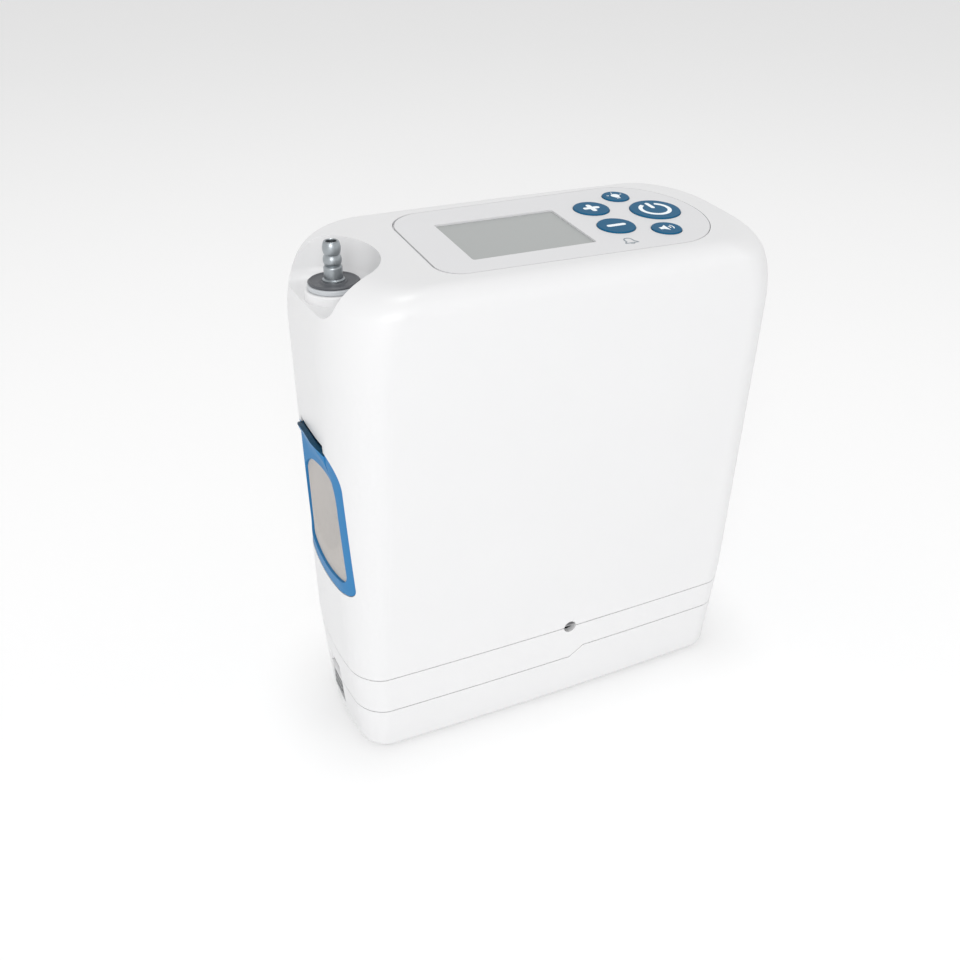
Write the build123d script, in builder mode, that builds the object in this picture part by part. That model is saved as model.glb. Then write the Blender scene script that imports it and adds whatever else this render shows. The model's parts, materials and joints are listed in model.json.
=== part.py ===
from build123d import *
import math
import os

os.makedirs("parts", exist_ok=True)

# A portable oxygen concentrator, in millimetres. The origin is at the centre of the
# underside, +X runs along the length, -Y is the front and +Z is up.

# ---------------------------------------------------------------- driving dimensions
# casing form: half sizes are measured from the centre planes
TOP_Z = 204.1
KINK_Z = 48.1
BASE_HALF_LENGTH = 86.5
KINK_HALF_LENGTH = 90.0
TOP_HALF_LENGTH = 91.3
BASE_HALF_DEPTH = 29.5
KINK_HALF_DEPTH = 32.4
TOP_HALF_DEPTH = 40.6
END_ROUND_X = 18.2
END_ROUND_Z = 29.5
END_ROUND_POWER = 2.3
EDGE_ROUND = 8.4
FOOT_ROUND = 4.8
CORNER_BASE = (11.5, 11.5)
CORNER_TOP = (20.7, 27.6)
FRONT_BOW = 1.4
END_BOW = 2.9
TOP_TILT = 4.2
WALL = 2.4
TOP_WALL = 3.6

# seams between the three casing pieces
UPPER_SEAM_Z = 40.3
LOWER_SEAM_LEFT_Z = 22.5
LOWER_SEAM_RIGHT_Z = 27.2
STEP_X = (6.5, 12.7)
SEAM_GAP = 0.4

# screws that hold the housing on the tray
SCREW_X = 80.0
SCREW_Y = 15.0
SCREW_RADIUS = 1.2
SCREW_HEAD_RADIUS = 2.8
SCREW_SEAT = 3.2
SCREW_BOSS_RADIUS = 3.4
SCREW_BOSS_TOP_Z = 60.0

# outlet pocket and nozzle
POCKET_X = -84.0
POCKET_RADIUS = 22.2
POCKET_FLOOR_Z = 190.0
POCKET_FLOOR_THICKNESS = 2.6
POCKET_FLOOR_ROUND = 4.5
NOZZLE_X = -77.8
BOSS_RADIUS = 10.3
BOSS_TOP_Z = 193.2
COLLAR_RADIUS = 9.0
COLLAR_TOP_Z = 196.0
SEAT_UNDERCUT = 0.35
BARB_RADIUS = 3.25
NOZZLE_BORE = 1.9
NOZZLE_TIP_Z = 209.6
NOZZLE_HOLE_RADIUS = 3.8
O_RING_WELL_RADIUS = 6.2

# control panel, in the plane of the sloping top
PANEL_LEFT = -49.6
PANEL_RIGHT = 68.5
PANEL_HALF_DEPTH = 31.0
PANEL_REAR_CORNER = 14.0
PANEL_FRONT_CORNER = 9.5
PANEL_NARROWING = 2.2
PANEL_THICKNESS = 1.4
PANEL_GAP = 0.3
PANEL_LEFT_GAP = 0.7
SCREEN_LEFT = -34.3
SCREEN_RIGHT = 14.2
SCREEN_FRONT = -19.2
SCREEN_BACK = 15.3
LENS_THICKNESS = 0.7
LENS_INSET = 0.7
KEY_TRAVEL = 0.5
KEY_PROUD = 0.5
BOARD_DEPTH = 10.5
KEYS = {
    "key_plus": (29.0, 10.5, 7.2),
    "key_minus": (28.7, -8.4, 7.4),
    "key_power": (52.0, 1.4, 10.0),
    "key_light": (45.1, 19.2, 5.6),
    "key_sound": (45.1, -17.0, 5.9),
}

# side intakes
INTAKE_BOTTOM_Z = 78.0
INTAKE_TOP_Z = 138.0
INTAKE_HALF_WIDTH = 26.6
INTAKE_TOP_HALF_WIDTH = 24.0
INTAKE_LOW_CORNER = 4.5
INTAKE_TOP_CORNER = 12.0
INTAKE_CORNER_STEP = 3.0
INTAKE_LOW_BOW = 3.0
INTAKE_SLOT_COUNT = 6
INTAKE_SLOT_PITCH = 7.5
INTAKE_SLOT_WIDTH = 3.5
INTAKE_SLOT_HALF_LENGTH = 15.0
INTAKE_SLOT_START = 14.0
NAIL_SLOT_X = 88.8
NAIL_SLOT_HALF_WIDTH = 13.4
INTAKE_DEPTH = 4.6
INTAKE_DISH = 4.6
INTAKE_DISH_Z = 115.0
INTAKE_DISH_REACH = 25.0
FRAME_THICKNESS = 3.4
FRAME_BOTTOM_WIDTH = 4.4
FRAME_SIDE_WIDTH = 3.8
FRAME_TOP_WIDTH = 17.0
LIP_TOP_Z = 140.6
LIP_REACH = 93.5
LIP_START_Z = 124.5
LIP_HALF_WIDTH = 15.0
LIP_FLAT_HALF_WIDTH = 12.0
LIP_THICKNESS = 2.0
LIP_ROOT_DEPTH = 1.2
LIP_BEND_Z = 133.0
LIP_STEPS = 6
LIP_SWEEP_POWER = 1.6
LIP_FLARE_POWER = 3
LIP_PLACES = (-14.5, -13, -11, -8, -5, 0, 5, 8, 11, 13, 14.5)
MESH_EDGE = 1.7
MESH_INSET = 1.3
MESH_THICKNESS = 0.8

# warm air vents in the back
VENT_COUNT = 9
VENT_START_X = 12.0
VENT_PITCH = 6.0
VENT_WIDTH = 3.0
VENT_Z = (54.0, 72.0)

# power inlet on the upper seam
JACK_X = 5.2
JACK_BORE_RADIUS = 2.75

# battery
BATTERY_WALL = 2.0
BATTERY_FLOOR = 1.8
COVER_THICKNESS = 1.6
CELL_RADIUS = 9.0
CELL_LENGTH = 65.0
CELL_PITCH = 18.2
CELL_Z = 11.1
RAIL_Y = 15.0
RAIL_STEM = 3.0
RAIL_HEAD = 6.0
RAIL_X = (-70.0, 2.0)
RAIL_SHOULDER_Z = 24.3
RAIL_TOP_Z = 26.4
RAIL_CLEARANCE = 0.35
BLADE_PITCH = 4.6
BLADE_COUNT = 5
LATCH_Y = 4.0
LATCH_Z = (9.0, 21.0)
LATCH_WIDTH = 14.0
LATCH_SPRING_Z = 14.5
LATCH_WELL_END = -77.4
SCOOP_X = -94.5
SCOOP_Z = 24.2
SCOOP_RADIUS = 8.0

# compressor, fan and coil
COMPRESSOR_X = -30.0
COMPRESSOR_Z = 66.0
BORE_RADIUS = 11.2
PISTON_RADIUS = 11.0
STROKE = 8.0
CRANKCASE_HALF = 18.0
CYLINDER_LENGTH = 20.0
HEAD_THICKNESS = 6.0
MOTOR_RADIUS = 20.0
FAN_Z = 98.0
FAN_SIZE = 40.0
FAN_HEIGHT = 10.0
COIL_Z = 114.0
COIL_RADIUS = 15.0
COIL_TUBE = 1.6

# sieve columns and tank
COLUMN_X = 57.0
COLUMN_Y = 14.0
COLUMN_RADIUS = 12.8
COLUMN_Z = (40.0, 148.0)
TANK_X = 29.0
TANK_RADIUS = 11.0

top_tilt = math.radians(TOP_TILT)
top_plane = Plane(
    origin=(0, 0, TOP_Z),
    x_dir=(1, 0, 0),
    z_dir=(0, -math.sin(top_tilt), math.cos(top_tilt)),
)


def block(x, y, z, mode=Mode.ADD):
    """A block between the low and high limits on each axis."""
    middle = ((x[0] + x[1]) / 2, (y[0] + y[1]) / 2, (z[0] + z[1]) / 2)
    with Locations(middle):
        Box(x[1] - x[0], y[1] - y[0], z[1] - z[0], mode=mode)


def round_x(x, y, z, radius, mode=Mode.ADD):
    """A cylinder along X between two limits."""
    with Locations(Location(((x[0] + x[1]) / 2, y, z), (0, 90, 0))):
        Cylinder(radius, x[1] - x[0], mode=mode)


def round_y(x, y, z, radius, mode=Mode.ADD):
    """A cylinder along Y between two limits."""
    with Locations(Location((x, (y[0] + y[1]) / 2, z), (90, 0, 0))):
        Cylinder(radius, y[1] - y[0], mode=mode)


def round_z(x, y, z, radius, mode=Mode.ADD):
    """A cylinder along Z between two limits."""
    with Locations((x, y, (z[0] + z[1]) / 2)):
        Cylinder(radius, z[1] - z[0], mode=mode)


def finish(piece, label):
    """Label a finished piece and write its file."""
    piece.part.label = label
    export_step(piece.part, f"parts/{label}.step")


# ---------------------------------------------------------------- casing form
def between(low, high, part):
    return low + (high - low) * part


def casing_half_sizes(z, wall, top_wall, foot_round):
    """Half length and half depth of the casing form at height z, moved in by the walls."""
    end_start = TOP_Z - END_ROUND_Z
    if z < KINK_Z:
        part = z / KINK_Z
        half_length = between(BASE_HALF_LENGTH, KINK_HALF_LENGTH, part)
        half_depth = between(BASE_HALF_DEPTH, KINK_HALF_DEPTH, part)
    else:
        part = min((z - KINK_Z) / (end_start - KINK_Z), 1)
        half_length = between(KINK_HALF_LENGTH, TOP_HALF_LENGTH, part)
        half_depth = between(KINK_HALF_DEPTH, TOP_HALF_DEPTH, (z - KINK_Z) / (TOP_Z - KINK_Z))
    above_end = max(z - end_start, 0) / (END_ROUND_Z - top_wall)
    above_edge = max(z - (TOP_Z - EDGE_ROUND), 0) / (EDGE_ROUND - top_wall)
    end_round = 1 - max(1 - above_end**END_ROUND_POWER, 0) ** (1 / END_ROUND_POWER)
    edge_round = 1 - math.sqrt(max(1 - above_edge**2, 0))
    foot_inset = foot_round - math.sqrt(foot_round**2 - max(foot_round - z, 0) ** 2)
    half_length -= wall + (END_ROUND_X - wall) * end_round + foot_inset
    half_depth -= wall + (EDGE_ROUND - wall) * edge_round + foot_inset
    return half_length, half_depth


def casing_section(z, wall=0.0, top_wall=0.0, foot_round=0.0):
    """The bowed outline of the casing at height z. The planes turn to the slope of the top."""
    tilt = top_tilt * max(2 * z / TOP_Z - 1, 0)
    plane = Plane(origin=(0, 0, z), x_dir=(1, 0, 0), z_dir=(0, -math.sin(tilt), math.cos(tilt)))
    half_length, half_depth = casing_half_sizes(z, wall, top_wall, foot_round)
    corner_x = between(CORNER_BASE[0], CORNER_TOP[0], z / TOP_Z) - wall
    corner_y = between(CORNER_BASE[1], CORNER_TOP[1], z / TOP_Z) - wall
    front_x = half_length - corner_x
    front_y = half_depth - FRONT_BOW * (front_x / half_length) ** 2
    front_slope = 2 * FRONT_BOW * front_x / half_length**2
    end_y = half_depth - corner_y
    end_x = half_length - END_BOW * (end_y / half_depth) ** 2
    end_slope = 2 * END_BOW * end_y / half_depth**2
    reach = end_x - front_x - end_slope * (front_y - end_y)
    reach = reach / (1 - front_slope * end_slope)
    tip_x = front_x + reach
    tip_y = front_y - front_slope * reach
    corner_weights = [1, math.sqrt(0.5), 1]
    with BuildSketch(plane) as outline:
        with BuildLine():
            ThreePointArc((-front_x, -front_y), (0, -half_depth), (front_x, -front_y))
            Bezier((front_x, -front_y), (tip_x, -tip_y), (end_x, -end_y), weights=corner_weights)
            ThreePointArc((end_x, -end_y), (half_length, 0), (end_x, end_y))
            Bezier((end_x, end_y), (tip_x, tip_y), (front_x, front_y), weights=corner_weights)
            ThreePointArc((front_x, front_y), (0, half_depth), (-front_x, front_y))
            Bezier((-front_x, front_y), (-tip_x, tip_y), (-end_x, end_y), weights=corner_weights)
            ThreePointArc((-end_x, end_y), (-half_length, 0), (-end_x, -end_y))
            Bezier((-end_x, -end_y), (-tip_x, -tip_y), (-front_x, -front_y), weights=corner_weights)
        make_face()
    return outline.sketch


def casing_form(wall=0.0, top_wall=0.0, foot_round=0.0, steps=4):
    """The whole casing as one solid, moved in by wall at the sides and top_wall at the top."""
    edge_start = TOP_Z - EDGE_ROUND
    end_start = TOP_Z - END_ROUND_Z
    edge_height = EDGE_ROUND - top_wall
    heights = [foot_round * (1 - math.cos(math.pi / 2 * i / steps)) for i in range(steps + 1)]
    heights = heights if foot_round > 0 else [0]
    heights += [KINK_Z, end_start]
    heights += [between(end_start, edge_start, i / steps) for i in range(1, steps)]
    heights += [edge_start + edge_height * math.sin(math.pi / 4 * i / steps) for i in range(2 * steps + 1)]
    sections = [casing_section(z, wall, top_wall, foot_round) for z in heights]
    with BuildPart() as form:
        loft(sections=sections, ruled=True)
    return form.part


def seam_block(lift):
    """Everything below the stepped lower seam, moved up by lift."""
    with BuildPart() as below:
        with BuildSketch(Plane.XZ) as profile:
            with BuildLine():
                Polyline(
                    (-120, LOWER_SEAM_LEFT_Z + lift),
                    (STEP_X[0], LOWER_SEAM_LEFT_Z + lift),
                    (STEP_X[1], LOWER_SEAM_RIGHT_Z + lift),
                    (120, LOWER_SEAM_RIGHT_Z + lift),
                    (120, -20),
                    (-120, -20),
                    close=True,
                )
            make_face()
        extrude(profile.sketch, amount=60, both=True)
    return below.part


def side_form(wall):
    """The casing between its kink and its end rounding, moved in by wall."""
    with BuildPart() as form:
        loft(sections=[casing_section(z, wall) for z in (KINK_Z, TOP_Z - END_ROUND_Z)], ruled=True)
    return form.part


def dished_form(wall):
    """The side form with the shallow round dish of the two side intakes."""
    dish_radius = (INTAKE_DISH_REACH**2 + INTAKE_DISH**2) / (2 * INTAKE_DISH)
    axis_x = casing_half_sizes(INTAKE_DISH_Z, 0, 0, 0)[0] + dish_radius - INTAKE_DISH
    with BuildPart() as dished:
        add(side_form(wall))
        with Locations((-axis_x, 0, INTAKE_DISH_Z), (axis_x, 0, INTAKE_DISH_Z)):
            Sphere(dish_radius + wall, mode=Mode.SUBTRACT)
    return dished.part


def intake_prism(side, grow, opening=False):
    """The intake outline run along X through one end of the casing."""
    low = INTAKE_BOTTOM_Z + (FRAME_BOTTOM_WIDTH if opening else 0) - grow
    high = INTAKE_TOP_Z - (FRAME_TOP_WIDTH if opening else 0) + grow
    wide = INTAKE_HALF_WIDTH - (FRAME_SIDE_WIDTH if opening else 0) + grow
    narrow = INTAKE_TOP_HALF_WIDTH - (FRAME_SIDE_WIDTH if opening else 0) + grow
    with BuildPart() as prism:
        with BuildSketch(Plane.YZ.offset(side * 60)) as outline:
            with BuildLine():
                ThreePointArc((-wide, low + INTAKE_LOW_BOW), (0, low), (wide, low + INTAKE_LOW_BOW))
                Line((wide, low + INTAKE_LOW_BOW), (narrow, high))
                Line((narrow, high), (-narrow, high))
                Line((-narrow, high), (-wide, low + INTAKE_LOW_BOW))
            make_face()
            fillet(outline.vertices().group_by(Axis.Y)[0], radius=INTAKE_LOW_CORNER)
            top_corner = INTAKE_TOP_CORNER - (INTAKE_CORNER_STEP if opening else 0)
            fillet(outline.vertices().group_by(Axis.Y)[-1], radius=top_corner)
        extrude(outline.sketch, amount=side * 50)
    return prism.part


def panel_outline(plane, gap):
    """Control panel outline: square corners on the left, a half ellipse on the right."""
    centre_x = PANEL_RIGHT - 24.5
    left = PANEL_LEFT + (PANEL_LEFT_GAP if gap else 0)
    half = PANEL_HALF_DEPTH - gap
    with BuildSketch(plane) as outline:
        with BuildLine():
            Polyline(
                (centre_x, half),
                (left, half - PANEL_NARROWING),
                (left, PANEL_NARROWING - half),
                (centre_x, -half),
            )
            EllipticalCenterArc((centre_x, 0), PANEL_RIGHT - gap - centre_x, half, -90, arc_size=180)
        make_face()
        left_corners = outline.vertices().sort_by(Axis.X)[:2].sort_by(Axis.Y)
        fillet(left_corners[0], radius=PANEL_FRONT_CORNER)
        fillet(outline.vertices().sort_by(Axis.X)[:3].sort_by(Axis.Y)[-1], radius=PANEL_REAR_CORNER)
    return outline.sketch


def screen_outline(plane, grow):
    """Screen window outline, grown on all sides."""
    width = SCREEN_RIGHT - SCREEN_LEFT + 2 * grow
    depth = SCREEN_BACK - SCREEN_FRONT + 2 * grow
    middle = ((SCREEN_RIGHT + SCREEN_LEFT) / 2, (SCREEN_BACK + SCREEN_FRONT) / 2)
    with BuildSketch(plane) as outline:
        with Locations(middle):
            RectangleRounded(width, depth, radius=1.0 + max(grow, 0))
    return outline.sketch


outer_form = casing_form(foot_round=FOOT_ROUND, steps=6)
inner_form = casing_form(WALL, TOP_WALL)
skin_form = dished_form(0.2)
recess_form = dished_form(INTAKE_DEPTH)
recess_back_form = dished_form(INTAKE_DEPTH + 2.0)
frame_back_form = dished_form(FRAME_THICKNESS)
mesh_front_form = dished_form(MESH_INSET)
mesh_back_form = dished_form(MESH_INSET + MESH_THICKNESS)

with BuildPart() as pocket_form:
    with BuildSketch(Plane.XY.offset(POCKET_FLOOR_Z)):
        with Locations((POCKET_X, 0)):
            Circle(POCKET_RADIUS)
    extrude(amount=30)
    fillet(pocket_form.edges().group_by(Axis.Z)[0], radius=POCKET_FLOOR_ROUND)

# ---------------------------------------------------------------- casing
half_gap = SEAM_GAP / 2
screw_places = [(x, y) for x in (-SCREW_X, SCREW_X) for y in (-SCREW_Y, SCREW_Y)]

with BuildPart() as end_walls:
    for side in (-1, 1):
        add(intake_prism(side, 2.2))
    add(recess_back_form, mode=Mode.SUBTRACT)
    add(side_form(0.5), mode=Mode.INTERSECT)

with BuildPart() as end_recesses:
    for side in (-1, 1):
        add(intake_prism(side, 0.2))
    add(recess_form, mode=Mode.SUBTRACT)

with BuildPart() as pocket_walls:
    round_z(POCKET_X, 0, (POCKET_FLOOR_Z - POCKET_FLOOR_THICKNESS, 215), POCKET_RADIUS + WALL)
    add(pocket_form.part, mode=Mode.SUBTRACT)
    round_z(NOZZLE_X, 0, (POCKET_FLOOR_Z - 1, BOSS_TOP_Z), BOSS_RADIUS)
    fillet(pocket_walls.faces().filter_by(Plane.XY).group_by(Axis.Z)[-2].edges(), radius=0.6)
    add(outer_form, mode=Mode.INTERSECT)

with BuildPart() as main_housing:
    add(outer_form)
    add(inner_form, mode=Mode.SUBTRACT)
    block((-120, 120), (-60, 60), (-20, UPPER_SEAM_Z + half_gap), mode=Mode.SUBTRACT)
    add(end_walls.part)
    # pocket for the outlet nozzle, open to the left end
    add(pocket_form.part, mode=Mode.SUBTRACT)
    add(pocket_walls.part)
    round_z(NOZZLE_X, 0, (180, 200), NOZZLE_HOLE_RADIUS, mode=Mode.SUBTRACT)
    round_z(NOZZLE_X, 0, (BOSS_TOP_Z - 1.8, 200), O_RING_WELL_RADIUS, mode=Mode.SUBTRACT)
    # screw bosses with a rib to the end wall
    for x, y in screw_places:
        outward = 1 if x > 0 else -1
        round_z(x, y, (UPPER_SEAM_Z + half_gap, SCREW_BOSS_TOP_Z), SCREW_BOSS_RADIUS)
        block(sorted((x, x + outward * 8)), (y - 1, y + 1), (UPPER_SEAM_Z + half_gap, SCREW_BOSS_TOP_Z))
        round_z(x, y, (UPPER_SEAM_Z, SCREW_BOSS_TOP_Z - 4), SCREW_RADIUS + 0.05, mode=Mode.SUBTRACT)
    add(end_recesses.part, mode=Mode.SUBTRACT)
    # air slots in the floor of each intake, and a nail slot above each filter
    for side in (-1, 1):
        for i in range(INTAKE_SLOT_COUNT):
            z = (
                INTAKE_BOTTOM_Z + INTAKE_SLOT_START + i * INTAKE_SLOT_PITCH,
                INTAKE_BOTTOM_Z + INTAKE_SLOT_START + i * INTAKE_SLOT_PITCH + INTAKE_SLOT_WIDTH,
            )
            slot_y = (-INTAKE_SLOT_HALF_LENGTH, INTAKE_SLOT_HALF_LENGTH)
            block(sorted((side * 70, side * 92)), slot_y, z, mode=Mode.SUBTRACT)
        nail_slot_x = sorted((side * NAIL_SLOT_X, side * (LIP_REACH + 1.5)))
        nail_slot_y = (-NAIL_SLOT_HALF_WIDTH, NAIL_SLOT_HALF_WIDTH)
        block(nail_slot_x, nail_slot_y, (INTAKE_TOP_Z - 2, LIP_TOP_Z + 0.3), mode=Mode.SUBTRACT)
    # warm air leaves through slots low in the back
    for i in range(VENT_COUNT):
        x = VENT_START_X + i * VENT_PITCH
        block((x, x + VENT_WIDTH), (24, 50), VENT_Z, mode=Mode.SUBTRACT)
    # seat of the control panel, screen window and key holes
    extrude(panel_outline(top_plane, 0), amount=-PANEL_THICKNESS, mode=Mode.SUBTRACT)
    extrude(panel_outline(top_plane, 0), amount=6, mode=Mode.SUBTRACT)
    extrude(screen_outline(top_plane, 2.5), amount=-8, mode=Mode.SUBTRACT)
    for x, y, radius in KEYS.values():
        with BuildSketch(top_plane):
            with Locations((x, y)):
                Circle(radius + 0.3)
        extrude(amount=-8, mode=Mode.SUBTRACT)
    round_y(JACK_X, (-40, -20), UPPER_SEAM_Z, JACK_BORE_RADIUS + 0.05, mode=Mode.SUBTRACT)
finish(main_housing, "main_housing")

# the lower tray: floor stepped like the battery under it, with slots for the battery rails
tray_top = UPPER_SEAM_Z - half_gap
with BuildPart() as tray_band:
    block((-120, 120), (-60, 60), (0, tray_top))
    add(seam_block(half_gap), mode=Mode.SUBTRACT)

with BuildPart() as tray_space:
    loft(sections=[casing_section(z, WALL) for z in (0, KINK_Z)], ruled=True)
    add(seam_block(half_gap + WALL), mode=Mode.SUBTRACT)

with BuildPart() as tray_form:
    loft(sections=[casing_section(z) for z in (5, KINK_Z)], ruled=True)

with BuildPart() as tray_lip:
    with BuildSketch():
        add(casing_section(UPPER_SEAM_Z, WALL + 0.2).moved(Location((0, 0, -UPPER_SEAM_Z))))
        add(casing_section(UPPER_SEAM_Z, WALL + 1.4).moved(Location((0, 0, -UPPER_SEAM_Z))), mode=Mode.SUBTRACT)
    extrude(amount=2.6)

contact_x = (0.0, 5.5)
latch_y = (LATCH_Y - LATCH_WIDTH / 2, LATCH_Y + LATCH_WIDTH / 2)
with BuildPart() as base_tray:
    add(tray_form.part)
    add(tray_band.part, mode=Mode.INTERSECT)
    add(tray_space.part, mode=Mode.SUBTRACT)
    # inner lip that locates the housing
    with BuildSketch(Plane.XY.offset(tray_top - 4)):
        add(casing_section(UPPER_SEAM_Z, WALL - 0.4).moved(Location((0, 0, tray_top - 4 - UPPER_SEAM_Z))))
        add(
            casing_section(UPPER_SEAM_Z, WALL + 1.4).moved(Location((0, 0, tray_top - 4 - UPPER_SEAM_Z))),
            mode=Mode.SUBTRACT,
        )
    extrude(amount=4)
    add(tray_lip.part.moved(Location((0, 0, tray_top))))
    # gaps in the lip for the ribs of the housing's screw bosses
    for x, y in screw_places:
        outward = 1 if x > 0 else -1
        block(sorted((x, x + outward * 12)), (y - 1.3, y + 1.3), (tray_top, tray_top + 4), mode=Mode.SUBTRACT)
    block((JACK_X - 6.5, JACK_X + 6.5), (-29.2, -20), (30, 50), mode=Mode.SUBTRACT)
    # rail housings
    for y in (-RAIL_Y, RAIL_Y):
        block((RAIL_X[0] - 3, STEP_X[0]), (y - 5, y + 5), (LOWER_SEAM_LEFT_Z + half_gap, 29.2))
    for x, y in screw_places:
        floor_z = LOWER_SEAM_LEFT_Z if x < 0 else LOWER_SEAM_RIGHT_Z
        round_z(x, y, (floor_z + half_gap, tray_top), 3.8)
        round_z(x, y, (0, SCREW_BOSS_TOP_Z), SCREW_RADIUS + 0.5, mode=Mode.SUBTRACT)
        round_z(x, y, (0, floor_z + SCREW_SEAT), SCREW_HEAD_RADIUS + 0.3, mode=Mode.SUBTRACT)
    for y in (-RAIL_Y, RAIL_Y):
        stem = RAIL_STEM / 2 + RAIL_CLEARANCE
        head = RAIL_HEAD / 2 + RAIL_CLEARANCE
        slot_x = (RAIL_X[0] - RAIL_CLEARANCE, STEP_X[1] + 4)
        block(slot_x, (y - stem, y + stem), (20, RAIL_TOP_Z + RAIL_CLEARANCE), mode=Mode.SUBTRACT)
        head_z = (RAIL_SHOULDER_Z - RAIL_CLEARANCE, RAIL_TOP_Z + RAIL_CLEARANCE)
        block(slot_x, (y - head, y + head), head_z, mode=Mode.SUBTRACT)
    # finger scoop above the battery latch
    scoop_back_y = (latch_y[0] - WALL, latch_y[1] + WALL)
    scoop_back_z = (LOWER_SEAM_LEFT_Z + half_gap, SCOOP_Z + SCOOP_RADIUS)
    block((SCOOP_X + 6.9, SCOOP_X + SCOOP_RADIUS + 3), scoop_back_y, scoop_back_z)
    round_y(SCOOP_X, latch_y, SCOOP_Z, SCOOP_RADIUS, mode=Mode.SUBTRACT)
    # window for the battery contacts
    block((contact_x[0] - 0.1, STEP_X[1] + 2), (-11.1, 11.1), (20, 29.7), mode=Mode.SUBTRACT)
    round_y(JACK_X, (-40, -20), UPPER_SEAM_Z, JACK_BORE_RADIUS + 0.05, mode=Mode.SUBTRACT)
finish(base_tray, "base_tray")

with BuildPart() as housing_gasket:
    with BuildSketch(Plane.XY.offset(tray_top)):
        add(casing_section(UPPER_SEAM_Z, 1.0).moved(Location((0, 0, tray_top - UPPER_SEAM_Z))))
        add(
            casing_section(UPPER_SEAM_Z, 2.3).moved(Location((0, 0, tray_top - UPPER_SEAM_Z))),
            mode=Mode.SUBTRACT,
        )
    extrude(amount=SEAM_GAP)
finish(housing_gasket, "housing_gasket")

with BuildPart() as housing_screws:
    for x, y in screw_places:
        floor_z = LOWER_SEAM_LEFT_Z if x < 0 else LOWER_SEAM_RIGHT_Z
        round_z(x, y, (floor_z + SCREW_SEAT - 2, floor_z + SCREW_SEAT), SCREW_HEAD_RADIUS)
        round_z(x, y, (floor_z + SCREW_SEAT, SCREW_BOSS_TOP_Z - 6), SCREW_RADIUS)
finish(housing_screws, "housing_screws")

# ---------------------------------------------------------------- control panel
with BuildPart() as control_panel:
    extrude(panel_outline(top_plane, PANEL_GAP), amount=-PANEL_THICKNESS)
    extrude(screen_outline(top_plane, 0), amount=-PANEL_THICKNESS, mode=Mode.SUBTRACT)
    for x, y, radius in KEYS.values():
        with BuildSketch(top_plane):
            with Locations((x, y)):
                Circle(radius)
        extrude(amount=-PANEL_THICKNESS, mode=Mode.SUBTRACT)
finish(control_panel, "control_panel")

with BuildPart() as display_lens:
    extrude(screen_outline(top_plane.offset(-LENS_INSET), -0.15), amount=-LENS_THICKNESS)
finish(display_lens, "display_lens")

with BuildPart() as lcd_module:
    extrude(screen_outline(top_plane.offset(-PANEL_THICKNESS - 0.1), 1.6), amount=-5)
finish(lcd_module, "lcd_module")

board_plane = top_plane.offset(-BOARD_DEPTH)
with BuildPart() as display_board:
    with BuildSketch(board_plane):
        with Locations((10, 0)):
            RectangleRounded(112, 50, radius=3)
        with Locations((-42, 21), (-42, -21), (62, 21), (62, -21)):
            Circle(1.4, mode=Mode.SUBTRACT)
    extrude(amount=-1.6)
finish(display_board, "display_board")

with BuildPart() as keypad_domes:
    for x, y, radius in KEYS.values():
        with BuildSketch(board_plane):
            with Locations((x, y)):
                Circle(3.0)
        extrude(amount=0.4, taper=30)
finish(keypad_domes, "keypad_domes")

with BuildPart() as buzzer:
    with BuildSketch(board_plane.offset(-1.6)):
        with Locations((-30, 8)):
            Circle(6)
            Circle(1, mode=Mode.SUBTRACT)
    extrude(amount=-4)
finish(buzzer, "buzzer")


def make_key(x, y, radius, label):
    """A key: cap in the panel hole, retaining flange under the casing and stem to its dome."""
    cap_bottom = -TOP_WALL - 0.2
    cap_radius = radius - 0.2
    with BuildPart() as key:
        with BuildSketch(top_plane.offset(KEY_PROUD)):
            with Locations((x, y)):
                Circle(cap_radius)
        extrude(amount=cap_bottom - KEY_PROUD)
        rim = key.edges().filter_by(GeomType.CIRCLE).sort_by(Axis.Z)[-1]
        fillet(rim, radius=0.35)
        with BuildSketch(top_plane.offset(cap_bottom)):
            with Locations((x, y)):
                Circle(radius + 1.0)
        extrude(amount=-1.2)
        with BuildSketch(top_plane.offset(cap_bottom - 1.2)):
            with Locations((x, y)):
                Circle(2.2)
        extrude(amount=KEY_TRAVEL + 0.6 - BOARD_DEPTH - cap_bottom + 1.2)
    finish(key, label)


for label, (x, y, radius) in KEYS.items():
    make_key(x, y, radius, label)

# ---------------------------------------------------------------- oxygen outlet
seat_z = (BOSS_TOP_Z, BOSS_TOP_Z + 1.9)
with BuildPart() as nozzle_seat:
    round_z(NOZZLE_X, 0, seat_z, COLLAR_RADIUS + 0.2)
    round_z(NOZZLE_X, 0, (seat_z[0], seat_z[0] + SEAT_UNDERCUT), COLLAR_RADIUS + 1, mode=Mode.SUBTRACT)
    round_z(NOZZLE_X, 0, seat_z, COLLAR_RADIUS - 0.3)
    round_z(NOZZLE_X, 0, seat_z, NOZZLE_HOLE_RADIUS, mode=Mode.SUBTRACT)
    seat_rims = nozzle_seat.edges().filter_by(GeomType.CIRCLE).group_by(Axis.Z)[-1]
    fillet(seat_rims.sort_by(SortBy.RADIUS)[-1], radius=0.5)
finish(nozzle_seat, "nozzle_seat")

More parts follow.
